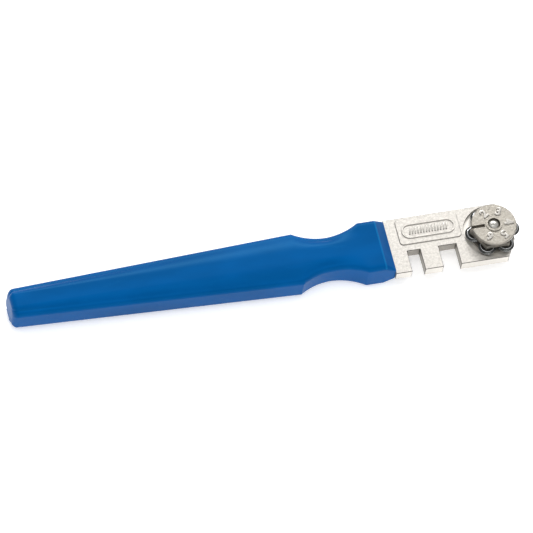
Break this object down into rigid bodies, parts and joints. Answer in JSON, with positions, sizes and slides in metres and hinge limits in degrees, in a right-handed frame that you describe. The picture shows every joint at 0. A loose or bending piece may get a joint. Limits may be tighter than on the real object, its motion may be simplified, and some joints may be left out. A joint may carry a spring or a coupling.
{
  "type": "glass cutter",
  "caption": "Hand glass cutter: tapered plastic handle with a finger waist, notched metal head, and an indexing turret that carries small cutting wheels.",
  "frame": {"origin": "middle of the bounding box, on the plane that the handle's flat underside rests on", "axes": "+X from the handle's tail to the wheel in use, +Z to the side that carries the turret, and the breaking notches open towards -Y"},
  "size_m": [0.13, 0.0152, 0.0096],
  "materials": {
    "blue_plastic": "moulded, satin gloss",
    "nickel_plate": "nickel plate over a die casting, slightly grainy",
    "tool_steel": "hardened and ground",
    "plated_steel": "bright zinc plate",
    "spring_steel": "oiled"
  },
  "bodies": {
    "root": {"handle": "blue_plastic", "head": "nickel_plate", "lock_washer": "spring_steel", "friction_washer": "spring_steel"},
    "turret": {"turret_cap": "nickel_plate", "turret_base": "nickel_plate", "wheel_axle_1": "plated_steel", "wheel_axle_2": "plated_steel", "wheel_axle_3": "plated_steel", "wheel_axle_4": "plated_steel", "wheel_axle_5": "plated_steel", "wheel_axle_6": "plated_steel"},
    "screw": {"pivot_screw": "plated_steel"},
    "wheel_1": {"cutting_wheel_1": "tool_steel"},
    "wheel_2": {"cutting_wheel_2": "tool_steel"},
    "wheel_3": {"cutting_wheel_3": "tool_steel"},
    "wheel_4": {"cutting_wheel_4": "tool_steel"},
    "wheel_5": {"cutting_wheel_5": "tool_steel"},
    "wheel_6": {"cutting_wheel_6": "tool_steel"}
  },
  "joints": [
    {"name": "turret_index", "type": "hinge", "parent": "root", "child": "turret", "pos_m": [0.05805, 0, 0.0056], "axis": [0, 0, 1], "continuous": true},
    {"name": "screw_loosen", "type": "hinge", "parent": "root", "child": "screw", "pos_m": [0.05805, 0, 0.0022], "axis": [0, 0, -1], "range_deg": [0, 180]},
    {"name": "wheel_1_spin", "type": "hinge", "parent": "turret", "child": "wheel_1", "pos_m": [0.05335, 0, 0.00578], "axis": [0, 0, 1], "continuous": true},
    {"name": "wheel_2_spin", "type": "hinge", "parent": "turret", "child": "wheel_2", "pos_m": [0.0557, 0.00407, 0.00578], "axis": [0, 0, 1], "continuous": true},
    {"name": "wheel_3_spin", "type": "hinge", "parent": "turret", "child": "wheel_3", "pos_m": [0.0604, 0.00407, 0.00578], "axis": [0, 0, 1], "continuous": true},
    {"name": "wheel_4_spin", "type": "hinge", "parent": "turret", "child": "wheel_4", "pos_m": [0.06275, 0, 0.00578], "axis": [0, 0, 1], "continuous": true},
    {"name": "wheel_5_spin", "type": "hinge", "parent": "turret", "child": "wheel_5", "pos_m": [0.0604, -0.00407, 0.00578], "axis": [0, 0, 1], "continuous": true},
    {"name": "wheel_6_spin", "type": "hinge", "parent": "turret", "child": "wheel_6", "pos_m": [0.0557, -0.00407, 0.00578], "axis": [0, 0, 1], "continuous": true}
  ]
}
